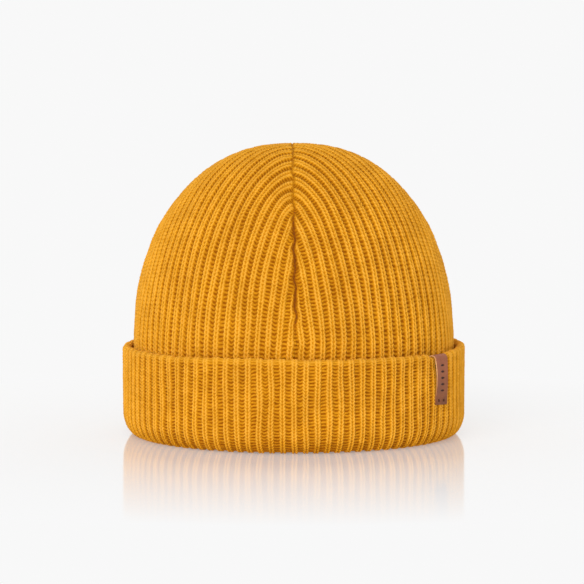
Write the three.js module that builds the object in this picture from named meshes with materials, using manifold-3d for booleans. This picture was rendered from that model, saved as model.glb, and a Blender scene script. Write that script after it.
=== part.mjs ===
// Knit beanie: a two-layer ribbed tube, closed at the top by four darts, with its lower part turned up
// as a cuff. Millimetres, +Z up. The origin is the centre of the ring that rests on the table.
// The front faces -Y and the leather tag sits on the cuff, forward of the wearer's left side (+X).

import * as THREE from 'three';
import { mergeVertices } from 'three/addons/utils/BufferGeometryUtils.js';
import Module from 'manifold-3d';

const wasm = await Module();
wasm.setup();

// Knit layers
const knit = 2;                  // thickness of one knitted layer
const gap = 0.3;                 // clearance between pieces that touch
const liningInset = 2.4;         // outer surface of the crown to outer surface of the lining

// Crown: radius = crownRadius * (1 - (height / crownRise) ^ riseShape) ^ (1 / ringShape)
const crownRadius = 93.8;
const crownRise = 130.5;
const widestHeight = 38.5;
const ringShape = 2.344;
const riseShape = 2.267;
const dartEnd = 62;              // height where the darts begin
const seamGroove = 1.6;          // width of the groove that a dart leaves
const tackHole = 2.7;            // radius of the gathered point at the apex

// Wall below the darts, drawn in a little where the cuff holds it
const exposedHeight = 57;
const heldRadius = 92.8;
const heldTop = 50;
const heldBottom = 24;
const wallFootRadius = 91;
const wallFoot = 9.7;

// Cuff
const cuffRadius = 99.5;         // outside of the cuff's face
const cuffTop = 52.7;
const foldInner = 3.6;           // radius of the lower fold on the inside of the hat
const foldRadius = 92.2;         // where the resting ring ends and the outer side begins to rise
const restEdge = 0.3;            // the resting ring is flat from here inwards of both its edges
const foldRise = 12.5;           // height at which the outer side stands upright
const foldShape = 1.8;           // 2 would be an ellipse
const hemRadius = 2.15;          // rolled edge along the top of the cuff
const bandTop = 48;

// Leather tag, folded over the cuff's top edge
const tagTurn = 56 * Math.PI / 180;  // from the front towards +X
const tagWidth = 12;
const leather = 1;
const tagInside = 2.7;           // inside radius of the tag's bend
const tagFrontLeg = 27.7;        // below the middle of the hem
const tagBackLeg = 13.5;
const stitchInset = 3.4;         // from the tag's side edges
const stitchRise = 2.3;          // from its lower edge
const stitchHole = 0.8;
const tagStitch = 0.5;

// Threads, label
const threadRadius = 0.5;
const tackRadius = 2.1;
const labelWidth = 22;
const labelDrop = 34;
const labelThickness = 0.6;
const labelTop = 60;
const labelPlane = 87.2;         // distance of the label's middle from the hat's axis
const labelStitch = 0.3;

// Fineness
const turnSteps = 56;
const domeSteps = 9;
const foldSteps = 5;
const threadSteps = 10;
const roundSteps = 10;            // round a stitch, the hem's roll and the tag's bend
const cutSize = 400;             // the blocks that cut the dome into gores

const quarterTurn = Math.PI / 2;

function knitMaterial(color) {
  return new THREE.MeshStandardMaterial({ color, roughness: 0.95, metalness: 0 });
}

const wool = '#e09c28';
const liningWool = '#d8952a';
const seamThread = '#8b4a0a';
const brownLeather = '#96583e';
const waxedThread = '#4a2418';
const satinWhite = '#e9e4d8';

// --- Sections, in the plane of radius and height ---

function domePoint(t, inset) {
  const radius = (crownRadius - inset) * Math.cos(t) ** (2 / ringShape);
  const height = (crownRise - inset) * Math.sin(t) ** (2 / riseShape);
  return new THREE.Vector2(radius, widestHeight + height);
}

function angleAtHeight(z, inset) {
  return Math.asin(((z - widestHeight) / (crownRise - inset)) ** (riseShape / 2));
}

function angleAtRadius(radius, inset) {
  return Math.acos((radius / (crownRadius - inset)) ** (ringShape / 2));
}

function domeArc(inset, fromHeight, toRadius, steps) {
  const start = angleAtHeight(fromHeight, inset);
  const end = angleAtRadius(toRadius, inset);
  const points = [];
  for (let i = 0; i <= steps; i++) {
    points.push(domePoint(start + (end - start) * i / steps, inset));
  }
  return points;
}

function gathered(inset) {
  const outer = domeArc(inset, dartEnd + gap / 2, tackHole, domeSteps);
  const inner = domeArc(inset + knit, dartEnd + gap / 2, tackHole, domeSteps);
  return outer.concat(inner.reverse());
}

// A layer of even thickness, half of it on each side of a middle line
function layer(middle, thickness) {
  const left = [];
  const right = [];
  middle.forEach((point, i) => {
    const before = middle[Math.max(i - 1, 0)];
    const after = middle[Math.min(i + 1, middle.length - 1)];
    const along = after.clone().sub(before).normalize();
    const across = new THREE.Vector2(-along.y, along.x).multiplyScalar(thickness / 2);
    left.push(point.clone().add(across));
    right.push(point.clone().sub(across));
  });
  return left.concat(right.reverse());
}

function wallLine(inset) {
  const middle = inset + knit / 2;
  const top = domePoint(angleAtHeight(dartEnd - gap / 2, middle), middle);
  const shown = domePoint(angleAtHeight(exposedHeight, middle), middle);
  return [
    new THREE.Vector2(wallFootRadius - middle, wallFoot),
    new THREE.Vector2(heldRadius - middle, heldBottom),
    new THREE.Vector2(heldRadius - middle, heldTop),
    shown,
    top,
  ];
}

// Middle line of a cuff layer: down from the wall, round the lower fold and up outside
function cuffLine(inner, bendRadius, outer, depth) {
  const points = [new THREE.Vector2(inner, wallFoot - gap)];
  for (let i = 0; i <= foldSteps; i++) {
    const t = quarterTurn * i / foldSteps;
    points.push(new THREE.Vector2(
      inner + bendRadius - bendRadius * Math.cos(t),
      depth + bendRadius - bendRadius * Math.sin(t)));
  }
  points.push(new THREE.Vector2(inner + bendRadius + restEdge, depth));
  points.push(new THREE.Vector2(foldRadius - restEdge, depth));
  for (let i = 0; i <= foldSteps; i++) {
    const t = quarterTurn * i / foldSteps;
    points.push(new THREE.Vector2(
      foldRadius + (outer - foldRadius) * Math.sin(t) ** (2 / foldShape),
      foldRise - (foldRise - depth) * Math.cos(t) ** (2 / foldShape)));
  }
  points.push(new THREE.Vector2(outer, bandTop));
  return points;
}

// --- Solids ---

function bare(geometry) {
  const plain = geometry.clone();
  plain.deleteAttribute('normal');
  plain.deleteAttribute('uv');
  return mergeVertices(plain, 1e-4);
}

// Turns a closed section around the hat's axis
function revolve(section) {
  const ring = THREE.ShapeUtils.isClockWise(section) ? section.slice().reverse() : section;
  const lathe = new THREE.LatheGeometry(ring.concat(ring[0]), turnSteps);
  return bare(lathe.rotateX(quarterTurn));
}

function toManifold(geometry) {
  const plain = bare(geometry);
  return new wasm.Manifold(new wasm.Mesh({
    numProp: 3,
    vertProperties: new Float32Array(plain.attributes.position.array),
    triVerts: new Uint32Array(plain.index.array),
  }));
}

function fromManifold(solid) {
  const mesh = solid.getMesh();
  const geometry = new THREE.BufferGeometry();
  geometry.setAttribute('position', new THREE.BufferAttribute(mesh.vertProperties, 3));
  geometry.setIndex(new THREE.BufferAttribute(mesh.triVerts, 1));
  return geometry;
}

function seamPath(inset) {
  const middle = inset + knit / 2;
  const clear = 2 * threadRadius;
  return domeArc(middle, dartEnd + clear, tackHole + clear, threadSteps)
    .map((point) => new THREE.Vector3(0, -point.x, point.y));
}

function cord(points, radius) {
  const section = new THREE.Shape();
  section.absarc(0, 0, radius, 0, 2 * Math.PI);
  const path = new THREE.CatmullRomCurve3(points);
  return new THREE.ExtrudeGeometry(section, {
    steps: threadSteps,
    curveSegments: 6,
    extrudePath: path,
  });
}

// --- The object ---

const beanie = new THREE.Group();

function add(name, geometry, material, parent = beanie) {
  geometry.computeVertexNormals();
  const mesh = new THREE.Mesh(geometry, material);
  mesh.name = name;
  parent.add(mesh);
  return mesh;
}

// One gore lies in each quarter of the crown
const quarters = [
  { name: 'front_right', x: 1, y: -1 },
  { name: 'back_right', x: 1, y: 1 },
  { name: 'back_left', x: -1, y: 1 },
  { name: 'front_left', x: -1, y: -1 },
];

const seams = ['front', 'right', 'back', 'left'];

function quarterBox(quarter) {
  const box = new THREE.BoxGeometry(cutSize, cutSize, cutSize);
  const shift = (cutSize + seamGroove) / 2;
  box.translate(quarter.x * shift, quarter.y * shift, 0);
  return toManifold(box);
}

function addCrownLayer(prefix, inset, color) {
  add(`${prefix}_wall`, revolve(layer(wallLine(inset), knit)), knitMaterial(color));
  const dome = toManifold(revolve(gathered(inset)));
  quarters.forEach((quarter) => {
    const gore = fromManifold(dome.intersect(quarterBox(quarter)));
    add(`${prefix}_gore_${quarter.name}`, gore, knitMaterial(color));
  });
  seams.forEach((side, i) => {
    const thread = bare(cord(seamPath(inset), threadRadius));
    const mesh = add(`${prefix}_seam_${side}`, thread, knitMaterial(seamThread));
    mesh.rotation.z = i * quarterTurn;
  });
  addApexTack(prefix, inset);
}

function addApexTack(prefix, inset) {
  const ball = bare(new THREE.SphereGeometry(tackRadius, 12, 8));
  ball.scale(1, 1, knit / (2 * tackRadius));
  const tack = add(`${prefix}_apex_tack`, ball, knitMaterial(seamThread));
  tack.position.z = widestHeight + crownRise - inset - knit / 2;
}

function addCuff() {
  const half = knit / 2;
  const faceInner = wallFootRadius - liningInset - half;
  const faceLine = cuffLine(faceInner, foldInner - half, cuffRadius - half, half);
  add('cuff_face', revolve(layer(faceLine, knit)), knitMaterial(wool));

  const backingInner = wallFootRadius - half;
  const backingDepth = knit + 2 * gap + half;
  const backingOuter = cuffRadius - knit - gap - half;
  const backingLine = cuffLine(backingInner, half + gap, backingOuter, backingDepth);
  add('cuff_backing', revolve(layer(backingLine, knit)), knitMaterial(wool));

  const hem = new THREE.TorusGeometry(cuffRadius - hemRadius, hemRadius, roundSteps, turnSteps);
  const mesh = add('cuff_hem', bare(hem), knitMaterial(wool));
  mesh.position.z = cuffTop - hemRadius;
}

// Side view of the folded leather: a narrow U upside down, its bend centred on the hem
function tagSection() {
  const outside = tagInside + leather;
  const section = new THREE.Shape();
  section.moveTo(outside, -tagFrontLeg);
  section.absarc(0, 0, outside, 0, Math.PI, false);
  section.lineTo(-outside, -tagBackLeg);
  section.lineTo(-tagInside, -tagBackLeg);
  section.absarc(0, 0, tagInside, Math.PI, 0, true);
  section.lineTo(tagInside, -tagFrontLeg);
  return section;
}

function stitchPost(side, radius, length) {
  const post = new THREE.CylinderGeometry(radius, radius, length, roundSteps);
  post.rotateZ(quarterTurn);
  post.translate(
    tagInside + leather / 2,
    side * (tagWidth / 2 - stitchInset),
    stitchRise - tagFrontLeg);
  return post;
}

// The tag is built with +X pointing away from the hat, then turned to its place on the cuff
function addTag() {
  const holder = new THREE.Group();
  holder.rotation.z = tagTurn - quarterTurn;
  beanie.add(holder);
  const place = new THREE.Vector3(cuffRadius - hemRadius, 0, cuffTop - hemRadius);

  const strip = new THREE.ExtrudeGeometry(tagSection(), {
    depth: tagWidth,
    bevelEnabled: false,
    curveSegments: roundSteps,
  });
  strip.translate(0, 0, -tagWidth / 2).rotateX(quarterTurn);
  let body = toManifold(strip);
  [-1, 1].forEach((side) => {
    body = body.subtract(toManifold(stitchPost(side, stitchHole, 2 * leather)));
  });
  const brown = new THREE.MeshStandardMaterial({ color: brownLeather, roughness: 0.6, metalness: 0 });
  add('leather_tag', fromManifold(body), brown, holder).position.copy(place);

  const names = ['tag_stitch_right', 'tag_stitch_left'];
  names.forEach((name, i) => {
    const post = bare(stitchPost(2 * i - 1, tagStitch, leather + 2 * gap));
    const dark = new THREE.MeshStandardMaterial({ color: waxedThread, roughness: 0.9, metalness: 0 });
    add(name, post, dark, holder).position.copy(place);
  });
}

function addCareLabel() {
  const satin = new THREE.MeshStandardMaterial({ color: satinWhite, roughness: 0.5, metalness: 0 });
  const sheet = new THREE.BoxGeometry(labelWidth, labelThickness, labelDrop);
  const label = add('care_label', sheet, satin);
  label.position.set(0, labelPlane, labelTop - labelDrop / 2);

  const row = new THREE.CylinderGeometry(labelStitch, labelStitch, labelWidth, 8);
  const stitching = add('care_label_stitching', row.rotateZ(quarterTurn), knitMaterial(seamThread));
  stitching.position.set(0, labelPlane, labelTop + 3 * labelStitch);
}

addCrownLayer('outer', 0, wool);
addCrownLayer('lining', liningInset, liningWool);
addCuff();
addTag();
addCareLabel();

export default beanie;
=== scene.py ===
import bpy
import bmesh
import math
import numpy as np
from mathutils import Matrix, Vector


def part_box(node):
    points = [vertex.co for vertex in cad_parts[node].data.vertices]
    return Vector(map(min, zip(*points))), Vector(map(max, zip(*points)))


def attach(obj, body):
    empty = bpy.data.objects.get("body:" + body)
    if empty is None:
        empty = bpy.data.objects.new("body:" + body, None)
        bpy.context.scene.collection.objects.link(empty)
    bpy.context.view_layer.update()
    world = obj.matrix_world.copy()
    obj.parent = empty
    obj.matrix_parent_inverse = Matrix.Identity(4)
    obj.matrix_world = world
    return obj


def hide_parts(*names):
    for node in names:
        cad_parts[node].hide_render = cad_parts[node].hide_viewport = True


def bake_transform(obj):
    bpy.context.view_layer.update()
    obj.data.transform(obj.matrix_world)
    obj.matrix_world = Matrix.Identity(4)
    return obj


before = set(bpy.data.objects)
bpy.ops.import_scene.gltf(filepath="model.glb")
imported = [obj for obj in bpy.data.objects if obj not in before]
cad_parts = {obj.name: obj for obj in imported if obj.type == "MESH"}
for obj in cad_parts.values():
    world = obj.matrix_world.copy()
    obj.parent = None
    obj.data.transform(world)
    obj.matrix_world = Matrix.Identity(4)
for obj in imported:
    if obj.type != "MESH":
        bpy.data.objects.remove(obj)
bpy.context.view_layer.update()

scene = bpy.context.scene
mm = 0.001


def boxOf(node):
    return [[c / mm for c in corner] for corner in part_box(node)]


# camera and light

studio = dict(
    distance=1534.0, eyeHeight=201.2, lookDown=4.437, sideStep=-1.2, lens=163.0, sensor=36.0, seesTo=50.0,
    paper=0.94, ceiling=0.45, dimFrom=0.12, key=1.75, keyAzimuth=-17, keyRise=26,
    rim=0.35, rimAzimuth=150, rimRise=30, sunAngle=50,
)


def addCamera():
    data = bpy.data.cameras.new("camera")
    data.lens = studio["lens"]
    data.sensor_width = studio["sensor"]
    data.clip_end = studio["seesTo"]
    camera = bpy.data.objects.new("camera", data)
    camera.location = (studio["sideStep"] * mm, -studio["distance"] * mm, studio["eyeHeight"] * mm)
    camera.rotation_euler = (math.radians(90 - studio["lookDown"]), 0, 0)
    scene.collection.objects.link(camera)
    scene.camera = camera


def addSun(name, strength, azimuth, elevation):
    # azimuth 0 shines from the front; returns what it adds to paper lying flat
    data = bpy.data.lights.new(name, "SUN")
    data.energy = strength
    data.angle = math.radians(studio["sunAngle"])
    light = bpy.data.objects.new(name, data)
    light.rotation_euler = (math.radians(90 - elevation), 0, math.radians(azimuth))
    scene.collection.objects.link(light)
    return strength * math.sin(math.radians(elevation)) / math.pi


def addLights():
    # a white room with a dimmer ceiling; returns how bright white paper lying flat is in this light
    world = bpy.data.worlds.new("studio")
    world.use_nodes = True
    tree = world.node_tree
    background = tree.nodes["Background"]
    background.inputs["Color"].default_value = (1, 1, 1, 1)
    direction = tree.nodes.new("ShaderNodeTexCoord")
    parts = tree.nodes.new("ShaderNodeSeparateXYZ")
    level = tree.nodes.new("ShaderNodeMapRange")
    tree.links.new(direction.outputs["Generated"], parts.inputs[0])
    tree.links.new(parts.outputs["Z"], level.inputs["Value"])
    level.inputs["To Min"].default_value = studio["paper"]
    level.inputs["From Min"].default_value = studio["dimFrom"]
    level.inputs["To Max"].default_value = studio["paper"] * studio["ceiling"]
    tree.links.new(level.outputs[0], background.inputs["Strength"])
    scene.world = world
    scene.view_settings.view_transform = "Standard"
    # the room's part of that light, summed over the sine of the elevation
    slices = 1000
    rise = (np.arange(slices) + 0.5) / slices
    slope = np.clip((rise - studio["dimFrom"]) / (1 - studio["dimFrom"]), 0, 1)
    lit = 2 * studio["paper"] * float(np.mean(rise * (1 - (1 - studio["ceiling"]) * slope)))
    lit += addSun("keySun", studio["key"], studio["keyAzimuth"], studio["keyRise"])
    lit += addSun("rimSun", studio["rim"], studio["rimAzimuth"], studio["rimRise"])
    return lit


# shader helpers

class Wire:
    # a number travelling through a material, so that a sum is written as a sum

    def __init__(self, bench, socket):
        self.bench = bench
        self.socket = socket

    def maths(self, operation, *others, clamp=False):
        values = {0: self, **{i + 1: other for i, other in enumerate(others)}}
        settings = dict(operation=operation, use_clamp=clamp)
        return Wire(self.bench, self.bench.node("ShaderNodeMath", settings, values).outputs[0])

    def __add__(self, other):
        return self.maths("ADD", other)

    def __sub__(self, other):
        return self.maths("SUBTRACT", other)

    def __rsub__(self, other):
        return (self * -1) + other

    def __mul__(self, other):
        return self.maths("MULTIPLY", other)

    def __pow__(self, other):
        return self.maths("POWER", other)

    __radd__ = __add__
    __rmul__ = __mul__

    def held(self, low, high):
        # 0 below low, 1 above high
        return ((self - low) * (1 / (high - low))).maths("ADD", 0, clamp=True)


class Bench:
    # one material and its nodes

    def __init__(self, name, roughness, specular):
        self.material = bpy.data.materials.new(name)
        self.material.use_nodes = True
        self.tree = self.material.node_tree
        self.shader = self.tree.nodes["Principled BSDF"]
        self.shader.inputs["Roughness"].default_value = roughness
        self.shader.inputs["Specular IOR Level"].default_value = specular

    def node(self, kind, settings=None, inputs=None):
        made = self.tree.nodes.new(kind)
        for key, value in (settings or {}).items():
            setattr(made, key, value)
        for key, value in (inputs or {}).items():
            self.feed(made.inputs[key], value)
        return made

    def feed(self, socket, value):
        if isinstance(value, Wire):
            self.tree.links.new(value.socket, socket)
        elif hasattr(value, "links"):
            self.tree.links.new(value, socket)
        else:
            socket.default_value = value

    def wire(self, socket):
        return Wire(self, socket)

    def split(self, vector):
        parts = self.node("ShaderNodeSeparateXYZ", {}, {0: vector})
        return [self.wire(out) for out in parts.outputs]

    def join(self, x, y, z):
        return self.node("ShaderNodeCombineXYZ", {}, {0: x, 1: y, 2: z}).outputs[0]

    def noise(self, vector, scale, detail):
        values = {"Vector": vector, "Scale": scale, "Detail": detail}
        return self.wire(self.node("ShaderNodeTexNoise", {"noise_dimensions": "3D"}, values).outputs["Fac"])

    def place(self):
        return self.node("ShaderNodeTexCoord").outputs["Object"]

    def tint(self, color, tone):
        settings = {"data_type": "RGBA", "blend_type": "MULTIPLY"}
        return self.node("ShaderNodeMix", settings, {"Factor": 1.0, 6: color, 7: tone}).outputs[2]

    def blend(self, share, first, second):
        made = self.node("ShaderNodeMix", {"data_type": "RGBA"}, {"Factor": share, 6: first, 7: second})
        return made.outputs[2]

    def finish(self, color, height=None, depth=0.001, roughness=None):
        self.feed(self.shader.inputs["Base Color"], color)
        if roughness is not None:
            self.feed(self.shader.inputs["Roughness"], roughness)
        if height is not None:
            bump = self.node("ShaderNodeBump", {}, {"Height": height, "Distance": depth, "Strength": 1.0})
            self.feed(self.shader.inputs["Normal"], bump.outputs[0])
        return self.material


# floor

acrylic = dict(wide=60, glow=0.50, roughness=0.09, bend=1.55, fadeFrom=0.13, fadeTo=0.33)


def addFloor(flatLight):
    # white acrylic that mirrors the hat at a flat angle and fades to even white paper
    bench = Bench("studio_floor", 1.0, 0.0)
    bpy.ops.object.select_all(action="DESELECT")
    bpy.ops.mesh.primitive_plane_add(size=acrylic["wide"])
    floor = bpy.context.object
    floor.name = "studio_floor"
    shade = studio["paper"] / flatLight
    floor.data.materials.append(bench.finish((shade, shade, shade, 1)))
    x, y, z = bench.split(bench.place())
    away = (x * x + y * y) ** 0.5
    far = away.held(acrylic["fadeFrom"], acrylic["fadeTo"])
    paper = bench.node("ShaderNodeEmission", {}, {"Color": (1, 1, 1, 1), "Strength": studio["paper"]})
    glow = acrylic["glow"] + (1 - acrylic["glow"]) * far
    lit = bench.node("ShaderNodeMixShader", {}, {0: glow, 1: bench.shader.outputs[0], 2: paper.outputs[0]})
    polish = {"Color": (1, 1, 1, 1), "Roughness": acrylic["roughness"]}
    mirror = bench.node("ShaderNodeBsdfGlossy", {}, polish)
    flatAngle = bench.wire(bench.node("ShaderNodeFresnel", {}, {"IOR": acrylic["bend"]}).outputs[0])
    mixed = bench.node("ShaderNodeMixShader", {}, {
        0: flatAngle * (1 - far), 1: lit.outputs[0], 2: mirror.outputs[0]})
    bench.tree.links.new(mixed.outputs[0], bench.tree.nodes["Material Output"].inputs["Surface"])


# wool

wool = dict(
    # crest, body and deep are lit and shaded copies of the one yarn colour, picked by the painted shade
    crest=(0.86, 0.415, 0.046, 1), body=(0.72, 0.305, 0.007, 1), deep=(0.33, 0.096, 0.0, 1),
    crestRange=(-0.06, 0.42), deepRange=(0.30, 0.98), roughness=0.95, specular=0.08,
    patchDark=(0.93, 0.91, 0.88, 1), patchLight=(1.05, 1.06, 1.08, 1), patch=0.05,
    sheen=0.05, sheenRoughness=0.5, sheenTint=(1.0, 0.72, 0.30, 1),
    ribWide=6.0, courseLong=2.4, plyAlong=5.2, plyAcross=7.0, plyRise=0.35,
    fibre=5.5, fibreLong=0.45, fibreShade=0.34, fibreRise=0.7, fibreDepth=0.00022,
    strand=1.6, strandLong=0.35, strandShade=0.22,
)


def woolMaterial(name):
    # reads the attribute "stitch": ribs round the hat, courses along it, and a painted shade that darkens the
    # yarn where it lies deep, with a random tone mixed in
    bench = Bench(name, wool["roughness"], wool["specular"])
    stitch = bench.node("ShaderNodeAttribute", {"attribute_name": "stitch"}).outputs["Vector"]
    rib, course, paintedShadeAndTone = bench.split(stitch)
    across = rib * wool["ribWide"]
    along = course * wool["courseLong"]
    fibre = bench.noise(bench.join(across, along * wool["fibreLong"], 0.0), wool["fibre"], 4.0)
    strand = bench.noise(bench.join(across, along * wool["strandLong"], 0.0), wool["strand"], 2.0)
    patch = bench.noise(bench.join(across, along, 0.0), wool["patch"], 2.0)
    # the yarn's two plies twist round each other
    lean = (rib.maths("FRACT") - 0.5).maths("SIGN")
    ply = (along * wool["plyAlong"] + across * lean * wool["plyAcross"]).maths("SINE") * 0.5 + 0.5
    shade = paintedShadeAndTone + (fibre - 0.5) * wool["fibreShade"] + (strand - 0.5) * wool["strandShade"]
    # painted shade: the colour runs from the crest colour through the body colour to the deep colour as the
    # shade grows
    low = bench.blend(shade.held(*wool["deepRange"]), wool["body"], wool["deep"])
    color = bench.blend(shade.held(*wool["crestRange"]), wool["crest"], low)
    tone = bench.blend(patch.held(0.35, 0.65), wool["patchDark"], wool["patchLight"])
    bench.shader.inputs["Sheen Weight"].default_value = wool["sheen"]
    bench.shader.inputs["Sheen Roughness"].default_value = wool["sheenRoughness"]
    bench.shader.inputs["Sheen Tint"].default_value = wool["sheenTint"]
    height = fibre * wool["fibreRise"] + ply * wool["plyRise"]
    return bench.finish(bench.tint(color, tone), height, wool["fibreDepth"])


# the knit

knit = dict(
    ribs=96, course=2.4, rowsPerCourse=5,
    phases=(0, 0.13, 0.22, 0.285, 0.345, 0.42, 0.50, 0.58, 0.655, 0.715, 0.78, 0.87),
    cuffPhases=(0, 0.12, 0.20, 0.26, 0.32, 0.38, 0.44, 0.50, 0.56, 0.62, 0.68, 0.74, 0.80, 0.88),
    liningPhases=(0, 0.14, 0.25, 0.34, 0.42, 0.50, 0.58, 0.66, 0.75, 0.86),
    legTop=0.215, legLean=0.13, legHalf=0.092, legLong=0.64, legGap=0.85, uneven=0.16,
    ribEdge=(0.225, 0.335), ribRound=0.25, valley=1.75,
    barHeight=0.85, barHalf=0.36, barUneven=0.3, barBend=0.30, barTilt=1.2, rowTilt=1.0, rowShift=0.16,
    barSplit=0.10, slackest=0.75, slackRound=0.45, slackBar=0.35, slackEdge=(0.055, 0.045),
    purlShade=0.42, legShade=0.60, slackShade=(0.12, 0.38), yarnShade=0.12, stripeShade=0.08, stripe=7,
    ribWaves=((11, 0.23, 0, 0.0275), (17, -0.16, 2.1, 0.0275), (29, 0.41, 0.6, 0.01925)),
    courseWaves=((7, 0, 0.9, 0.16), (23, 0.11, 0, 0.10)),
)

quarter = math.pi / 4      # half the angle of one gore
ribsHalf = knit["ribs"] // 8
rowStep = knit["course"] / knit["rowsPerCourse"]


def smooth(low, high, value):
    t = np.clip((value - low) / (high - low), 0, 1)
    return t * t * (3 - 2 * t)


def waves(table, around, along=0.0):
    # adds up sines, each with its turns round the hat, its rate along the second way, its phase and its size
    return sum(size * np.sin(turns * around + rate * along + phase) for turns, rate, phase, size in table)


def scatter(a, b, seed):
    # an even spread of numbers from 0 to 1, one for each pair of whole numbers
    raw = np.sin(a * 12.9898 + b * 78.233 + seed * 37.719) * 43758.5453
    return raw - np.floor(raw)


def legsAt(x, into, index, row):
    # the two slanting legs of each rib stitch, 1 on top of the yarn; the rows before and after reach in
    legs = np.zeros_like(x)
    for n in (-1, 0, 1):
        size = 1 + knit["uneven"] * (scatter(index, row + n, 1) - 0.5)
        t = into - n
        for way in (-1, 1):
            middle = way * (knit["legTop"] - knit["legLean"] * t)
            beside = ((x - middle) / (knit["legHalf"] * size)) ** 2
            past = ((t - 0.5) / knit["legLong"]) ** 4
            legs = np.maximum(legs, np.sqrt(np.clip(1 - beside - past, 0, 1)) * size)
    return legs


def barsAt(ribs, courses, row):
    # the bars of yarn that cross each valley, 1 on top of the yarn
    index = np.floor(ribs + 0.5)
    inside = ribs - index
    arch = np.cos(np.clip(np.abs(inside) / 0.26, 0, 1) * math.pi)
    bend = knit["barBend"] * (scatter(index, 1, 5) - 0.75) * arch
    tilt = knit["barTilt"] * (scatter(index, 0, 5) - 0.5) + knit["rowTilt"] * (scatter(index, row, 6) - 0.5)
    up = courses + bend + tilt * inside + knit["rowShift"] * (scatter(index, row, 2) - 0.5)
    halves = np.sign(inside) * np.clip(np.abs(inside) / 0.06, 0, 1)
    up = up + knit["barSplit"] * halves * (scatter(index, row, 7) - 0.5)
    t = up - np.floor(up) - 0.5
    half = knit["barHalf"] * (1 + knit["barUneven"] * (scatter(index, row, 8) - 0.5))
    return np.sqrt(np.clip(1 - (t / half) ** 2, 0, 1))


def yarn(ribs, courses, rise=1.0, spread=1.0):
    # height of the yarn below the rib's crest in mm, and a painted shade from 0 to 1 that darkens the yarn in
    # its hollows, with a random tone added;
    # spread is 1 where the cloth is stretched and its valleys stand open, less where it is slack
    around = 2 * math.pi * ribs / knit["ribs"]
    ribs = ribs + waves(knit["ribWaves"], around, courses)
    courses = courses + waves(knit["courseWaves"], around, courses)
    index = np.floor(ribs)
    row = np.floor(courses)
    x = (ribs - index - 0.5) * spread
    side = np.abs(x)
    legs = legsAt(x, courses - row, index, row)
    bars = barsAt(ribs, courses, row)
    slack = (1 - spread) / (1 - knit["slackest"])
    ribRound = (knit["ribRound"] + knit["slackRound"] * slack) * (side / 0.3) ** 2
    ribTop = -knit["legGap"] * (1 - np.clip(legs, 0, 1.1)) - ribRound
    purlTop = -knit["valley"] + knit["barHeight"] * (1 - knit["slackBar"] * np.clip(slack, 0, 1)) * bars
    low, high = knit["ribEdge"]
    sunk = smooth(low, high, side)
    height = ribTop * (1 - sunk) + purlTop * sunk
    # slack valleys close up, so their painted shade reaches further over the rib's flanks
    sunk = smooth(low - knit["slackEdge"][0] * slack, high - knit["slackEdge"][1] * slack, side)
    # painted shade: dark in the valleys, less dark on the purl bars that cross them, dark in the gaps between
    # a rib's legs, and darker still in slack valleys
    paintedShadeAndTone = sunk * (knit["purlShade"] + (1 - knit["purlShade"]) * (1 - bars))
    paintedShadeAndTone = paintedShadeAndTone + (1 - sunk) * knit["legShade"] * (1 - np.clip(legs, 0, 1)) ** 1.3
    paintedShadeAndTone = paintedShadeAndTone + slack * sunk * (knit["slackShade"][0] + knit["slackShade"][1] * (1 - bars))
    # a random tone per stitch and per stripe of rows goes in with the painted shade
    paintedShadeAndTone = paintedShadeAndTone + knit["yarnShade"] * (scatter(index, row, 3) - 0.5)
    paintedShadeAndTone = paintedShadeAndTone + knit["stripeShade"] * (scatter(index, np.floor(row / knit["stripe"]), 4) - 0.5)
    return height * rise, np.clip(paintedShadeAndTone, 0, 1), ribs, courses


class Profile:
    # a line in the plane of radius and height, read by distance along it

    def __init__(self, points):
        self.points = np.array(points, float)
        steps = np.linalg.norm(np.diff(self.points, axis=0), axis=1)
        self.run = np.concatenate([[0], np.cumsum(steps)])
        self.length = self.run[-1]

    def at(self, along):
        return np.interp(along, self.run, self.points[:, 0]), np.interp(along, self.run, self.points[:, 1])

    def slope(self, along):
        step = 0.6
        r0, z0 = self.at(np.maximum(along - step, 0))
        r1, z1 = self.at(np.minimum(along + step, self.length))
        size = np.maximum(np.hypot(r1 - r0, z1 - z0), 1e-9)
        return (r1 - r0) / size, (z1 - z0) / size


def arc(center, radii, start, end, steps, power=2.0):
    points = []
    for i in range(steps + 1):
        t = math.radians(start + (end - start) * i / steps)
        c, s = math.cos(t), math.sin(t)
        points.append((
            center[0] + radii[0] * math.copysign(abs(c) ** (2 / power), c),
            center[1] + radii[1] * math.copysign(abs(s) ** (2 / power), s)))
    return points


def relax(points, turns):
    # rounds a given line without moving its ends
    line = np.array(points, float)
    run = np.concatenate([[0], np.cumsum(np.linalg.norm(np.diff(line, axis=0), axis=1))])
    even = np.linspace(0, run[-1], max(int(run[-1] / 0.5), 8))
    line = np.column_stack([np.interp(even, run, line[:, 0]), np.interp(even, run, line[:, 1])])
    for turn in range(turns):
        line[1:-1] = 0.5 * line[1:-1] + 0.25 * (line[:-2] + line[2:])
    return line


# mesh helpers

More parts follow.
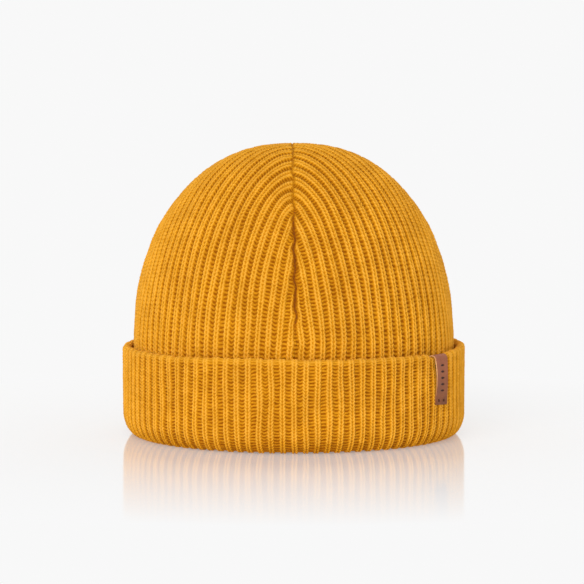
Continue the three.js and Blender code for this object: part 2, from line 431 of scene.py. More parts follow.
def makeMesh(name, points, faces, material, stitch=None):
    mesh = bpy.data.meshes.new(name)
    mesh.from_pydata((np.asarray(points) * mm).tolist(), [], faces)
    mesh.materials.append(material)
    piece = bpy.data.objects.new(name, mesh)
    scene.collection.objects.link(piece)
    if stitch is not None:
        data = mesh.attributes.new("stitch", "FLOAT_VECTOR", "POINT")
        data.data.foreach_set("vector", np.asarray(stitch, np.float32).ravel())
    work = bmesh.new()
    work.from_mesh(mesh)
    bmesh.ops.delete(work, geom=[v for v in work.verts if not v.link_faces], context="VERTS")
    bmesh.ops.recalc_face_normals(work, faces=work.faces)
    for face in work.faces:
        face.smooth = True
    # flat ends keep a crisp border and are cut into triangles while they are still flat
    caps = [face for face in work.faces if len(face.verts) > 4]
    for face in bmesh.ops.triangulate(work, faces=caps)["faces"]:
        face.smooth = False
    for edge in work.edges:
        edge.smooth = len({face.smooth for face in edge.link_faces}) < 2
    work.to_mesh(mesh)
    work.free()
    return piece


def gridSheet(name, columns, rows):
    # a flat sheet from -1 to 1 both ways, still to be bent
    bpy.ops.object.select_all(action="DESELECT")
    bpy.ops.mesh.primitive_grid_add(x_subdivisions=columns, y_subdivisions=rows, size=2)
    piece = bpy.context.object
    piece.name = name
    return piece, np.array([v.co for v in piece.data.vertices])


def applyModifier(piece, name, kind, **settings):
    modifier = piece.modifiers.new(name, kind)
    for key, value in settings.items():
        setattr(modifier, key, value)
    bpy.ops.object.modifier_apply(modifier=name)


def seamAngle(side):
    # the middle of the front, right, back or left
    return (side - 1) * math.pi / 2


def apartFrom(angle, other):
    return np.abs((angle - other + math.pi) % (2 * math.pi) - math.pi)


def turned(radius, angle, height):
    return np.stack([radius * np.cos(angle), radius * np.sin(angle), height], axis=-1)


def cordMesh(paths, radius, across, sides=8):
    # round closed cords; across is a direction that no path runs along
    points, faces = [], []
    for path in paths:
        path = np.array(path, float)
        along = np.gradient(path, axis=0)
        along /= np.linalg.norm(along, axis=1)[:, None]
        u = np.cross(along, across)
        u /= np.linalg.norm(u, axis=1)[:, None]
        v = np.cross(along, u)
        size = np.full(len(path), radius)
        # the ends taper to a blunt point
        size[[0, -1]] = 0.6 * radius
        start, count = len(points), len(path)
        for i in range(count):
            for k in range(sides):
                t = 2 * math.pi * k / sides
                points.append(path[i] + size[i] * (u[i] * math.cos(t) + v[i] * math.sin(t)))
        ends = (len(points), len(points) + 1)
        points += [path[0] - along[0] * radius * 0.5, path[-1] + along[-1] * radius * 0.5]
        for k in range(sides):
            n = (k + 1) % sides
            for i in range(count - 1):
                a = start + i * sides
                faces.append((a + k, a + n, a + sides + n, a + sides + k))
            last = start + (count - 1) * sides
            faces.append((ends[0], start + n, start + k))
            faces.append((ends[1], last + k, last + n))
    return points, faces


def bridge(fine, coarse, every):
    # closes the strip between a finely and a coarsely cut edge that share their corners
    faces = []
    for c in range(len(coarse) - 1):
        start = c * every
        end = min(start + every, len(fine) - 1)
        half = (start + end) // 2
        for i in range(start, end):
            faces.append((fine[i], fine[i + 1], coarse[c] if i < half else coarse[c + 1]))
        faces.append((fine[half], coarse[c + 1], coarse[c]))
    return [f for f in faces if len(set(f)) == 3]


# crown

crown = dict(
    radius=93.8, ringShape=2.344, riseShape=2.267, widest=38.5, wallFrom=56, held=93.2, hiddenBelow=44.0,
    dartEnd=62.0, dartDrift=((1.1, -0.9), (-0.8, 0.7), (0.9, 0.6), (-0.6, -0.9)), wobbleWide=3.6,
    arch=(8.0, 5.5), archFrom=127.0, archTo=157.0, archSteep=1.7, slack=0.06,
    spread=0.97, spreadLoss=0.22, spreadRange=(50, 150),
    seamOpen=14, seamOpenFrom=(60, 75), seamOpenTo=(115, 140),
    grooveFrom=(62, 82), grooveTo=(118, 145), grooveThin=0.7, grooveShallow=0.3, puffAt=5.5, puffWide=3.6,
    grooveShade=0.70, pinchWide=5.0, pinchDeep=1.2, lump=0.45, lumpRange=(8, 45), every=4,
    lumpWaves=((3, 1 / 31, 1.3, 1), (5, -1 / 43, -0.7, 0.7), (8, 1 / 19, 2.2, 0.6)),
    seamWaves=((1.7, 1 / 2.3, 0, 0.42), (1, 1 / 1.31, 0, 0.24)),
)
outerLayer = dict(
    node="outer", inset=0.0, footLine=[(91.2, 1.8)], rowStep=rowStep, phases=knit["phases"],
    facing=1, back=3.2, rise=1.0, seam=dict(width=1.15, depth=2.7, puff=0.8))
liningLayer = dict(
    node="lining", inset=4.7, footLine=[(87.5, 15), (87.6, 12), (88.6, 4)], rowStep=2 * rowStep,
    phases=knit["liningPhases"], facing=-1, back=1.25, rise=0.55, seam=dict(width=1.2, depth=0.9, puff=0.0))
apex = boxOf("outer_gore_front_left")[1][2]


def crownProfile(inset, footLine):
    # from the apex down to the foot of the wall
    radius = crown["radius"] - inset
    rise = apex - crown["widest"] - inset
    dome = []
    steps = 240
    for i in range(steps + 1):
        t = math.pi / 2 * (1 - i / steps)
        dome.append((radius * math.cos(t) ** (2 / crown["ringShape"]),
                     crown["widest"] + rise * math.sin(t) ** (2 / crown["riseShape"])))
    dome = [p for p in dome if p[1] > crown["wallFrom"]]
    wall = [(crown["held"] - inset, 50), (crown["held"] - inset, 24)] + footLine
    # the last points of the dome are rounded together with the wall
    return Profile(np.vstack([dome[:-8], relax(dome[-8:] + wall, 60)]))


def seamShift(side, height):
    # each dart wanders a little, in mm round the hat; side 0 is the front one
    climb = np.clip((height - crown["dartEnd"]) / 105, 0, 1)
    low, high = crown["dartDrift"][side]
    return low * (1 - climb) + high * climb


def wander(angle, radius, height):
    # carries the seams' drift and the tighter waves of their stitching into the cloth beside them, in radians
    turn = np.zeros_like(angle)
    for side in range(4):
        apart = apartFrom(angle, seamAngle(side))
        near = np.cos(np.clip(apart / quarter, 0, 1) * math.pi / 2) ** 2
        close = np.exp(-(apart * radius / crown["wobbleWide"]) ** 2)
        turn = turn + near * seamShift(side, height) + close * waves(crown["seamWaves"], side, height)
    fade = smooth(crown["dartEnd"] - 22, crown["dartEnd"] + 5, height)
    return turn * fade / np.maximum(radius, 6)


def lumps(angle, height, size):
    return size * 0.5 * waves(crown["lumpWaves"], angle, height)


def crownLumps(angle, radius, height):
    return lumps(angle, height, crown["lump"]) * smooth(*crown["lumpRange"], radius)


class GoreMap:
    # lays the ribs of one quarter parallel to its middle: a narrow cone at each height, unrolled

    def __init__(self, profile):
        self.profile = profile
        self.run = np.linspace(0, profile.length, 1400)
        self.radius, self.height = profile.at(self.run)
        tilt = np.abs(profile.slope(self.run)[0])
        self.dart = np.interp(-crown["dartEnd"], -self.height, self.run)
        # below the darts the cone becomes a plain tube
        ramp = 1 - smooth(self.dart - 32, self.dart + 12, self.run)
        self.cone = np.maximum(tilt * ramp, 1e-4)
        wide = np.interp(self.dart, self.run, self.radius)
        self.pitch = np.where(self.run < self.dart, wide, self.radius) * quarter / ribsHalf
        self.pitch = self.pitch * (1 - crown["slack"] * (1 - smooth(self.dart * 0.25, self.dart, self.run)))
        slant = self.radius / self.cone
        self.edgeCourse = self.run - slant * (1 - np.cos(self.cone * quarter))
        self.edgeRib = slant * np.sin(self.cone * quarter) / self.pitch

    def edge(self, course):
        return np.interp(course, self.edgeCourse, self.edgeRib)

    def place(self, rib, course):
        # where a stitch lies: distance from the apex and angle from the quarter's middle, found step by step
        run = course.copy()
        angle = np.zeros_like(run)
        for turn in range(24):
            cone = np.interp(run, self.run, self.cone)
            radius = np.maximum(np.interp(run, self.run, self.radius), 1e-6)
            pitch = np.interp(run, self.run, self.pitch)
            angle = np.arcsin(np.clip(rib * pitch * cone / radius, -0.95, 0.95)) / cone
            run = 0.4 * run + 0.6 * (course + radius / cone * (1 - np.cos(cone * angle)))
        return run, np.clip(angle, -quarter, quarter)


def goreGrid(gore, rows, columns):
    # rows of stitches across one quarter, each ending on the seam
    edge = np.maximum(gore.edge(rows), 0)
    ribs = np.clip(columns[None, :], -edge[:, None], edge[:, None])
    count = len(columns)
    inside = np.abs(columns)[None, :] < edge[:, None] - 1e-6
    first = np.where(inside.any(1), inside.argmax(1) - 1, count // 2)
    last = np.where(inside.any(1), count - inside[:, ::-1].argmax(1), count // 2)
    owner = np.clip(np.arange(count)[None, :], first[:, None], last[:, None])
    ids = np.arange(len(rows))[:, None] * count + owner
    ids[0, :] = ids[0, count // 2]
    a, b = ids[:-1, :-1].ravel(), ids[:-1, 1:].ravel()
    d, c = ids[1:, :-1].ravel(), ids[1:, 1:].ravel()
    full = (a != b) & (c != d)
    slim = (a == b) & (c != d)
    thin = (a != b) & (c == d)
    faces = np.stack([a, b, c, d], 1)[full].tolist()
    faces += np.stack([a, c, d], 1)[slim].tolist()
    faces += np.stack([a, b, c], 1)[thin].tolist()
    course = np.repeat(rows[:, None], count, 1)
    return ribs, course, ids, faces


def archShift(gore, run, angle, radius, height):
    # how far the ribs sag as they reach a seam near the apex, so that they arch over it
    slope = 1 / np.tan(np.maximum(np.interp(run, gore.run, gore.cone), 0.3) * quarter)
    wide = np.where(angle > 0, *crown["arch"]) * np.clip(np.abs(angle) / 0.2, 0, 1)
    apart = (quarter - np.abs(angle)) * radius
    sag = np.minimum(slope, crown["archSteep"]) * (np.sqrt(apart ** 2 + wide ** 2) - apart)
    return sag * smooth(crown["archFrom"], crown["archTo"], height) * smooth(1, 16, radius)


def grooveAt(seam, height):
    # width and depth of the groove along a seam, and how much of its deep part this is
    low = smooth(*crown["grooveFrom"], height) * (1 - smooth(*crown["grooveTo"], height))
    wide = crown["grooveThin"] + (1 - crown["grooveThin"]) * low
    deep = crown["grooveShallow"] + (1 - crown["grooveShallow"]) * low
    return seam["width"] * wide, seam["depth"] * deep, low


def spreadAt(apart, height):
    # the cloth is slack higher up, but the seam pulls it open
    spread = crown["spread"] - crown["spreadLoss"] * smooth(*crown["spreadRange"], height)
    pulled = np.exp(-(apart / crown["seamOpen"]) ** 2)
    pulled = pulled * smooth(*crown["seamOpenFrom"], height) * (1 - smooth(*crown["seamOpenTo"], height))
    return spread + (1 - spread) * pulled


def layCloth(gore, side, rib, course):
    # where the stitches of one quarter lie, before the yarn's own relief
    run, angle = gore.place(rib, course)
    radius, height = gore.profile.at(run)
    spread = spreadAt((quarter - np.abs(angle)) * radius, height)
    run = run + archShift(gore, run, angle, radius, height)
    radius, height = gore.profile.at(run)
    turn = seamAngle(side) + quarter + angle
    turn = turn + wander(turn, radius, height)
    return run, angle, radius, height, turn, spread


def pushed(gore, run, radius, height, turn, out):
    # outward is to the left of the downhill direction
    dr, dz = gore.profile.slope(run)
    return turned(radius - dz * out, turn, height + dr * out)


def frontOf(gore, side, rib, course, layer):
    # the side of the layer that shows, with its yarn and the grooves of its darts
    run, angle, radius, height, turn, spread = layCloth(gore, side, rib, course)
    whole = rib + side * 2 * ribsHalf + ribsHalf
    relief, paintedShadeAndTone, ribs, courses = yarn(whole, course / knit["course"], layer["rise"], spread)
    apart = (quarter - np.abs(angle)) * radius
    dart = 1 - smooth(gore.dart - 10, gore.dart + 2, run)
    wide, deep, low = grooveAt(layer["seam"], height)
    near = np.exp(-(apart / wide) ** 2) * dart
    puff = layer["seam"]["puff"] * np.exp(-((apart - crown["puffAt"]) / crown["puffWide"]) ** 2) * dart * low
    relief = relief * (1 - near) - deep * near + puff
    # painted shade darkens the yarn in the groove of each dart, most where the groove runs deep
    shade = crown["grooveShade"] + (1 - crown["grooveShade"]) * low
    paintedShadeAndTone = paintedShadeAndTone * (1 - near) + near * np.maximum(paintedShadeAndTone, shade)
    # the cloth is gathered in at the apex
    relief = relief * smooth(-0.5, crown["pinchWide"], radius)
    relief = relief - crown["pinchDeep"] * (1 - smooth(0, crown["pinchWide"], radius))
    out = relief * layer["facing"] + crownLumps(turn, radius, height)
    return pushed(gore, run, radius, height, turn, out), np.stack([ribs, courses, paintedShadeAndTone], -1)


def backOf(gore, side, rib, course, layer):
    # the plain side that never shows
    run, angle, radius, height, turn, spread = layCloth(gore, side, rib, course)
    out = crownLumps(turn, radius, height) - layer["back"] * layer["facing"]
    # the back gets full painted shade, so it takes the deepest wool colour
    stitch = np.stack([rib, course / knit["course"], np.ones_like(rib)], -1)
    return pushed(gore, run, radius, height, turn, out), stitch


quarterNames = ("front_right", "back_right", "back_left", "front_left")


def columnsOf(phases, half):
    steps = [k + p for k in range(-half, half) for p in phases] + [half]
    return np.array(steps, float)


def addCrownLayer(name, layer, material):
    profile = crownProfile(layer["inset"], layer["footLine"])
    gore = GoreMap(profile)
    every, per = crown["every"], len(layer["phases"])
    # the rows that the cuff hides are cut more coarsely
    shown = float(np.interp(-crown["hiddenBelow"], -gore.height, gore.run))
    count = int(shown / (layer["rowStep"] * every)) * every
    rows = np.linspace(0, shown, count + 1)
    count = int((profile.length - shown) / (1.5 * layer["rowStep"] * every)) * every
    rows = np.concatenate([rows, np.linspace(shown, profile.length, count + 1)[1:]])
    columns = columnsOf(layer["phases"], ribsHalf)
    for side, where in enumerate(quarterNames):
        rib, course, ids, faces = goreGrid(gore, rows, columns)
        front, frontStitch = frontOf(gore, side, rib, course, layer)
        rib, course, backIds, backFaces = goreGrid(gore, rows[::every], columns[::per])
        back, backStitch = backOf(gore, side, rib, course, layer)
        shift = ids.size
        backIds = backIds + shift
        faces += [tuple(i + shift for i in face) for face in backFaces]
        faces += bridge(ids[:, 0].tolist(), backIds[:, 0].tolist(), every)
        faces += bridge(ids[:, -1].tolist(), backIds[:, -1].tolist(), every)
        faces += bridge(ids[-1].tolist(), backIds[-1].tolist(), per)
        points = np.vstack([front.reshape(-1, 3), back.reshape(-1, 3)])
        stitch = np.vstack([frontStitch.reshape(-1, 3), backStitch.reshape(-1, 3)])
        piece = makeMesh(f"{name}_{where}", points, faces, material, stitch)
        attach(piece, "crown")
        wall = [f"{layer['node']}_wall"] if side == 0 else []
        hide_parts(f"{layer['node']}_gore_{where}", *wall)
    return gore


sideNames = ("front", "right", "back", "left")
thread = dict(
    radius=0.42, fromApex=5.0, beforeEnd=4.0, step=0.45, pitch=3.2, sway=0.30, buried=0.9,
    tackSpan=2.3, tackRise=0.9, tackSink=1.35, tackYarn=0.55, tackTurns=(0.5, 2.2, 1.3),
    tackStep=0.25, tackBase=0.6,
    roughness=0.8, specular=0.2, fibre=2200.0, fibreDepth=0.0001,
    # the dart thread is made near black as painted shade of the groove it lies in; the label stitches use the
    # same colours
    seamColors=((0.16, 0.040, 0.001, 1), (0.30, 0.085, 0.003, 1)),
    tackColors=((0.60, 0.22, 0.006, 1), (0.84, 0.39, 0.04, 1)),
    waxedColors=((0.030, 0.009, 0.004, 1), (0.085, 0.028, 0.014, 1)),
)


def threadMaterial(name, colors):
    bench = Bench(name, thread["roughness"], thread["specular"])
    fibre = bench.noise(bench.place(), thread["fibre"], 3.0)
    return bench.finish(bench.blend(fibre.held(0.3, 0.7), *colors), fibre, thread["fibreDepth"])


def addSeamThreads(name, layer, gore, material):
    # the thread that closes each dart, running in and out along the foot of its groove
    for side, where in enumerate(sideNames):
        run = np.arange(thread["fromApex"], gore.dart - thread["beforeEnd"], thread["step"])
        radius, height = gore.profile.at(run)
        deep, low = grooveAt(layer["seam"], height)[1:]
        angle = np.full_like(run, seamAngle(side))
        turn = angle + wander(angle, radius, height)
        stitch = thread["sway"] * np.sin(run * 2 * math.pi / thread["pitch"])
        # near the apex the thread is buried in the wool
        sunk = deep + thread["buried"] * (1 - low) - stitch
        out = crownLumps(turn, radius, height) - layer["facing"] * sunk
        path = pushed(gore, run, radius, height, turn, out)
        across = (-math.sin(angle[0]), math.cos(angle[0]), 0)
        piece = makeMesh(f"{name}_dart_thread_{where}", *cordMesh([path], thread["radius"], across), material)
        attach(piece, "crown")
        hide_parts(f"{layer['node']}_seam_{where}")


def addTack(name, layer, material):
    # short loops of yarn that cross over the gathered point at the apex
    facing = layer["facing"]
    level = apex - layer["inset"] - facing * thread["tackSink"]
    paths = []
    for n, turn in enumerate(thread["tackTurns"]):
        t = np.linspace(-1, 1, 11)
        reachOut = thread["tackSpan"] * t
        lift = thread["tackRise"] * (1 - t ** 2) + thread["tackStep"] * n - thread["tackBase"]
        paths.append(np.stack([
            reachOut * math.cos(turn), reachOut * math.sin(turn), level + facing * lift], -1))
    piece = makeMesh(f"{name}_tack_yarn", *cordMesh(paths, thread["tackYarn"], (0, 0, 1)), material)
    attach(piece, "crown")
    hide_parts(f"{layer['node']}_apex_tack")


# cuff

cuff = dict(
    top=boxOf("cuff_hem")[1][2], radius=boxOf("cuff_face")[1][0], inner=94.3, hemRound=2.6,
    foldFrom=90.6, foldTo=91.6, foldRise=13.0, foldShape=1.85, insideFold=3.7, lump=0.35,
    course=1.87, rowsPerCourse=5, footFlat=0.15, hemFlat=0.42, hemDeep=5.0, hemBright=0.45,
    footShade=0.30, footTop=11.0, clearance=0.02,
    hemWaves=((3, 0, 0.4, 0.5), (7, 0, 1.9, 0.3), (31, 0, 1.1, 0.16), (53, 0, 2.3, 0.13)),
)


def cuffProfile():
    # a closed line: inside the hat, round the lower fold, up outside, over the hem and down again
    outside = cuff["radius"]
    halfWide = (outside - cuff["inner"]) / 2
    hemMiddle = outside - halfWide
    shoulder = cuff["top"] - cuff["hemRound"]
    line = [(87.9, 14.0)]
    line += arc((cuff["foldFrom"], cuff["insideFold"]), (cuff["insideFold"], cuff["insideFold"]), 180, 270, 8)
    line += arc((cuff["foldTo"], cuff["foldRise"]), (outside - cuff["foldTo"], cuff["foldRise"]),
                270, 360, 24, cuff["foldShape"])
    line += arc((hemMiddle, shoulder), (halfWide, cuff["hemRound"]), 0, 180, 16)
    shown = Profile(line)
    inner = cuff["inner"]
    hidden = [(inner, shoulder - 8), (inner, 20), (93.2, 10), (91.3, 6.5), (89.6, 9), (89.2, 14)]
    return shown, hidden


def addCuff(material):
    shown, hidden = cuffProfile()
    hemMiddle = (cuff["radius"] + cuff["inner"]) / 2
    wide = 2 * math.pi * cuff["radius"] / 4
    count = int(shown.length / cuff["course"] * cuff["rowsPerCourse"])
    run = np.linspace(0, shown.length, count + 1)
    radius, height = shown.at(run)
    dr, dz = shown.slope(run)
    # the hidden back is plain: no slope means no relief
    plain = np.zeros(len(hidden))
    radius = np.concatenate([radius, [p[0] for p in hidden]])
    height = np.concatenate([height, [p[1] for p in hidden]])[:, None]
    dr = np.concatenate([dr, plain])[:, None]
    dz = np.concatenate([dz, plain])[:, None]
    run = np.concatenate([run, plain + run[-1]])
    columns = columnsOf(knit["cuffPhases"], ribsHalf)
    shape = (len(run), len(columns))
    tall = np.clip(height / cuff["top"], 0, 1)
    hem = smooth(cuff["top"] - cuff["hemDeep"], cuff["top"] - 1, height)
    for side, where in enumerate(sideNames):
        whole = np.broadcast_to(columns + side * 2 * ribsHalf, shape)
        along = np.broadcast_to(-run[:, None] / cuff["course"], shape)
        relief, paintedShadeAndTone, ribs, courses = yarn(whole, along)
        angle = np.broadcast_to(seamAngle(side) + (columns - 0.5) * quarter / ribsHalf, shape)
        relief = relief * (1 - cuff["footFlat"] * (1 - tall)) * (1 - cuff["hemFlat"] * hem)
        # the painted shade is weaker on the flattened hem
        paintedShadeAndTone = paintedShadeAndTone * (1 - cuff["hemBright"] * hem)
        # painted shade: the yarn is darkened where the cuff turns under, towards the floor
        paintedShadeAndTone = paintedShadeAndTone + cuff["footShade"] * (1 - smooth(0, cuff["footTop"], height))
        swell = lumps(angle, height * 1.3 + 40, cuff["lump"]) * smooth(0, 16, height)
        r = radius[:, None] + dz * relief + swell
        z = height - dr * relief
        # the tag holds the hem down, and the cloth gives way to its inner leg
        under = apartFrom(angle, tagTurn) * cuff["radius"] - tag["width"] / 2
        under = 1 - smooth(0, tag["ease"], under)
        pinch = under * smooth(cuff["top"] - 14, cuff["top"] - 3, height)
        room = under * smooth(14, 19, height)
        aside = np.clip((r - hemMiddle) / (cuff["radius"] - hemMiddle), -1, 1)
        r = r - pinch * tag["pinch"] * np.maximum(aside, 0) - room * tag["room"] * np.minimum(aside, 0)
        # the hem rises and dips a little round the hat
        z = z - pinch * tag["press"] + waves(cuff["hemWaves"], angle) * tall ** 3
        points = turned(r, angle, np.maximum(z, cuff["clearance"]))
        ids = np.arange(points.shape[0] * points.shape[1]).reshape(shape)
        loop = np.vstack([ids, ids[:1]])
        corners = [loop[:-1, :-1], loop[:-1, 1:], loop[1:, 1:], loop[1:, :-1]]
        faces = np.stack(corners, -1).reshape(-1, 4).tolist()
        faces += [ids[:, 0].tolist(), ids[::-1, -1].tolist()]
        stitch = np.stack([ribs, courses, paintedShadeAndTone], -1).reshape(-1, 3)
        piece = makeMesh(f"cuff_{where}", points.reshape(-1, 3), faces, material, stitch)
        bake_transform(piece)
        wide * mm
    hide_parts("cuff_face", "cuff_backing", "cuff_hem")


# leather tag

tag = dict(
    width=12.5, thick=0.8, bend=2.3, inset=2.15, sink=1.85, frontLeg=25.6, backLeg=13.0, slant=0.4,
    lift=0.7, liftShape=1.6, bow=0.4, bowShape=0.8, flatEnd=4.0, cell=0.3, cornerCut=1.2, cornerIn=0.07,
    edgeRound=0.18, ease=4.5, pinch=0.8, room=1.75, press=1.5,
    markFirst=3.4, marks=5, markStep=3.55, markWide=2.1, markTall=0.75, markAside=0.6, markShape=1.6,
    markDeep=0.25, stitchAside=(-3.0, 2.3), stitchRise=2.4, stitchSize=0.75, stitchYarn=0.25, stitchSunk=0.22,
)
leather = dict(
    dark=(0.21, 0.062, 0.021, 1), light=(0.38, 0.132, 0.055, 1), mark=(0.032, 0.006, 0.001, 1),
    # the two tones on the next line paint shade on the lower tag and light near its bend
    shadedTone=(0.70, 0.68, 0.58, 1), litTone=(1.08, 1.03, 1.12, 1), litRange=(0.024, 0.050),
    cutDark=(0.52, 0.26, 0.09, 1), cutLight=(0.86, 0.50, 0.20, 1), cutLowColor=(0.27, 0.10, 0.035, 1),
    cutFadeRange=(0.026, 0.042), cloud=160.0, grain=1900.0, fine=2600.0, fibre=1500.0,
)
tagLow, tagHigh = boxOf("leather_tag")
tagTurn = math.atan2((tagLow[1] + tagHigh[1]) / 2, (tagLow[0] + tagHigh[0]) / 2)
tagMiddle = (cuff["radius"] - tag["inset"], cuff["top"] - tag["inset"] - tag["sink"])
tagHalf = tag["bend"] * math.pi / 2      # half the leather's run round the bend


def tagPlace(along, across, out=0.0):
    # a point of the tag's middle surface: along its front from the bend down is positive, the bend lies
    # at 0, and its back leg is negative; across runs from -1 to 1, the far side from the front first
    bend = tag["bend"]
    down = np.maximum(along - tagHalf, 0)
    back = np.maximum(-along - tagHalf, 0)
    turn = np.clip(along / bend, -math.pi / 2, math.pi / 2)
    # between the bend and the stitches the leather stands off, most of all at the edge nearer the front
    share = np.clip(down / (tag["frontLeg"] - tag["flatEnd"]), 0, 1)
    free = np.sin(share * math.pi) ** tag["bowShape"]
    near = smooth(-0.2, 1, -across)
    lift = tag["lift"] * free * near ** tag["liftShape"] + tag["bow"] * free
    outward = (bend + out) * np.sin(turn) + lift
    height = (bend + out) * np.cos(turn) - down - back
    height = height - tag["slant"] * across * down / tag["frontLeg"]
    side = across * tag["width"] / 2
    radius = tagMiddle[0] + outward
    c, s = math.cos(tagTurn), math.sin(tagTurn)
    return np.stack([radius * c - side * s, radius * s + side * c, tagMiddle[1] + height], -1)


def markAt(along, across):
    # a column of small pressed lozenges, a plain ornament
    side = across * tag["width"] / 2
    first = tagHalf + tag["markFirst"]
    step = np.clip(np.round((along - first) / tag["markStep"]), 0, tag["marks"] - 1)
    up = np.abs(along - first - step * tag["markStep"]) / tag["markTall"]
    away = up ** tag["markShape"] + (np.abs(side - tag["markAside"]) / tag["markWide"]) ** tag["markShape"]
    return 1 - smooth(0.7, 1.2, away)


def leatherMaterial():
    bench = Bench("brown_leather", 0.6, 0.22)
    place = bench.place()
    mark = bench.wire(bench.node("ShaderNodeAttribute", {"attribute_name": "mark"}).outputs["Fac"])
    cloud = bench.noise(place, leather["cloud"], 4.0)
    cells = {"Vector": place, "Scale": leather["grain"]}
    pebble = bench.wire(bench.node("ShaderNodeTexVoronoi", {"feature": "F1"}, cells).outputs["Distance"])
    fine = bench.noise(place, leather["fine"], 3.0)
    shade = (cloud - 0.5) * 1.6 + (pebble - 0.4) * 0.5 + 0.5
    color = bench.blend(shade.held(0, 1), leather["dark"], leather["light"])
    # painted light: lighter near the bend at the top, where the light from above falls, and painted shade
    # darker down towards the loose end
    towardTop = bench.split(place)[2].held(*leather["litRange"])
    color = bench.tint(color, bench.blend(towardTop, leather["shadedTone"], leather["litTone"]))
    color = bench.blend(mark.held(0.1, 0.7), color, leather["mark"])
    return bench.finish(color, pebble * -0.8 + fine * 0.5, 0.00012, 0.42 + cloud * 0.3)


def cutEdgeMaterial():
    bench = Bench("cut_leather_edge", 0.85, 0.2)
    place = bench.place()
    fibre = bench.noise(place, leather["fibre"], 4.0)
    pale = bench.blend(fibre.held(0.3, 0.7), leather["cutDark"], leather["cutLight"])
    # darker towards the bottom of the tag
    towardTop = bench.split(place)[2].held(*leather["cutFadeRange"])
    return bench.finish(bench.blend(towardTop, leather["cutLowColor"], pale), fibre, 0.0002)


def addTag():
    long = tag["frontLeg"] + tag["backLeg"] + 2 * tagHalf
    columns, rows = int(tag["width"] / tag["cell"]), int(long / tag["cell"])
    piece, flat = gridSheet("leather_tag_folded", columns, rows)
    along = -tag["backLeg"] - tagHalf + (flat[:, 1] + 1) / 2 * long
    # the lower corners are cut round
    end = (tag["frontLeg"] + tagHalf - along) / tag["cornerCut"]
    across = flat[:, 0] * (1 - tag["cornerIn"] * np.clip(1 - end, 0, 1) ** 2)
    mark = markAt(along, across)
    points = tagPlace(along, across, -tag["markDeep"] * mark) * mm
    piece.data.vertices.foreach_set("co", points.ravel())
    data = piece.data.attributes.new("mark", "FLOAT", "POINT")
    data.data.foreach_set("value", mark.astype(np.float32))
    piece.data.materials.append(leatherMaterial())
    piece.data.materials.append(cutEdgeMaterial())
    faceOut(piece, tagPlace(np.array([tagHalf + 9.0]), np.array([0.0]))[0])
    applyModifier(piece, "thickness", "SOLIDIFY", thickness=tag["thick"] * mm, offset=0,
                  material_offset_rim=1)
    applyModifier(piece, "soft edge", "BEVEL", width=tag["edgeRound"] * mm, segments=2,
                  angle_limit=math.radians(50))
    bpy.ops.object.shade_smooth()
    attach(piece, "tag")
    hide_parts("leather_tag")


def faceOut(piece, spot):
    # turns an open sheet so that its front looks away from the hat's axis at the given spot
    spot = np.array(spot) * mm
    centers = np.array([face.center for face in piece.data.polygons])
    nearest = piece.data.polygons[int(np.argmin(np.linalg.norm(centers - spot, axis=1)))]
    if nearest.normal[0] * spot[0] + nearest.normal[1] * spot[1] < 0:
        piece.data.flip_normals()


def addTagStitches(material):
    # a small cross of waxed thread at each lower corner
    size = tag["stitchSize"]
    for name, aside in zip(("tag_stitch_right", "tag_stitch_left"), tag["stitchAside"]):
        paths = []
        for n, lean in enumerate((-1, 1)):
            t = np.linspace(-1, 1, 9)
            across = (aside + size * t) * 2 / tag["width"]
            along = tagHalf + tag["frontLeg"] - tag["stitchRise"] + size * lean * t
            # the second thread of the cross lies over the first
            out = tag["thick"] / 2 - tag["stitchSunk"] + (0.34 + 0.18 * n) * (1 - t ** 2)
            paths.append(tagPlace(along, across, out))
        across = (math.cos(tagTurn), math.sin(tagTurn), 0)
        piece = makeMesh(f"{name}_cross", *cordMesh(paths, tag["stitchYarn"], across), material)
        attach(piece, "tag")
        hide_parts(name)


# care label

label = dict(
    thick=0.45, columns=22, rows=36, curl=1.6, wave=0.5, cup=0.35, narrow=0.02,
    stitches=8, stitchLong=1.7, yarn=0.22, warp=9000.0, weft=7000.0,
    dark=(0.66, 0.63, 0.54, 1), light=(0.84, 0.81, 0.73, 1), weaveDepth=0.00006,
)


def satinMaterial():
    bench = Bench("label_satin", 0.42, 0.4)
    x, y, z = bench.split(bench.place())
    weave = (x * label["warp"]).maths("SINE") * 0.6 + (z * label["weft"]).maths("SINE") * 0.4
    color = bench.blend(weave.held(-1, 1), label["dark"], label["light"])
    return bench.finish(color, weave, label["weaveDepth"])


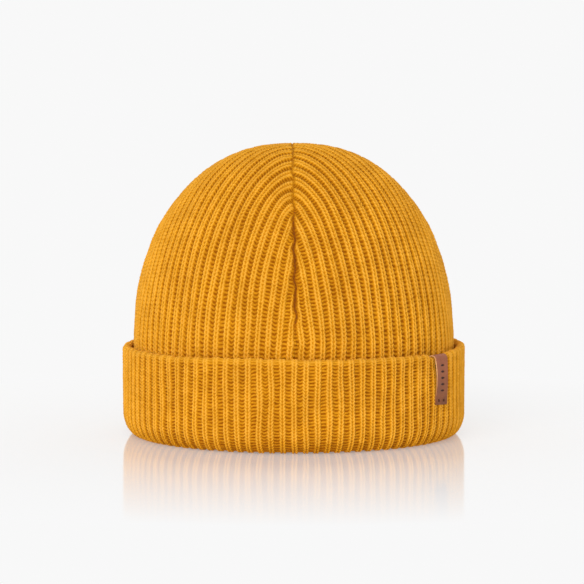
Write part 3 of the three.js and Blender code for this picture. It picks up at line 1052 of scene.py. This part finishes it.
def addLabel():
    low, high = boxOf("care_label")
    middle, wide, tall = (low[1] + high[1]) / 2, high[0] - low[0], high[2] - low[2]
    piece, flat = gridSheet("care_label_hanging", label["columns"], label["rows"])
    across, drop = flat[:, 0], (1 - flat[:, 1]) / 2
    away = label["curl"] * drop ** 2 + label["wave"] * np.sin(drop * 5) * drop
    away = away + label["cup"] * drop * across ** 2
    place = np.stack([
        across * wide / 2 * (1 - label["narrow"] * drop), middle - away, high[2] - drop * tall], -1)
    piece.data.vertices.foreach_set("co", (place * mm).ravel())
    piece.data.materials.append(satinMaterial())
    applyModifier(piece, "thickness", "SOLIDIFY", thickness=label["thick"] * mm, offset=0)
    bpy.ops.object.shade_smooth()
    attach(piece, "care_label")
    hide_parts("care_label")
    wide * mm
    tall * mm


def addLabelStitches(material):
    # a row of running stitches just above the label
    low, high = boxOf("care_label_stitching")
    middle, level = (low[1] + high[1]) / 2, (low[2] + high[2]) / 2
    paths = []
    for n in range(label["stitches"]):
        x = low[0] + (n + 0.5) * (high[0] - low[0]) / label["stitches"]
        t = np.linspace(-1, 1, 7)
        paths.append(np.stack([
            x + t * label["stitchLong"] / 2, middle - 0.2 * (1 - t ** 2), np.full_like(t, level)], -1))
    piece = makeMesh("care_label_stitches", *cordMesh(paths, label["yarn"], (0, 0, 1)), material)
    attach(piece, "crown")
    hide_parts("care_label_stitching")


# build

addCamera()
flatLight = addLights()
print("camera and lights")

woolYarn = woolMaterial("mustard_wool")
threadDark = threadMaterial("seam_thread", thread["seamColors"])
threadWool = threadMaterial("tack_yarn", thread["tackColors"])
threadBrown = threadMaterial("waxed_thread", thread["waxedColors"])
for name, layer in (("crown", outerLayer), ("lining", liningLayer)):
    gore = addCrownLayer(name, layer, woolYarn)
    addSeamThreads(name, layer, gore, threadDark)
    addTack(name, layer, threadWool)
    print(name)
addCuff(woolYarn)
print("cuff")
addTag()
addTagStitches(threadBrown)
print("tag")
addLabel()
addLabelStitches(threadDark)
print("label")
addFloor(flatLight)
print("floor")
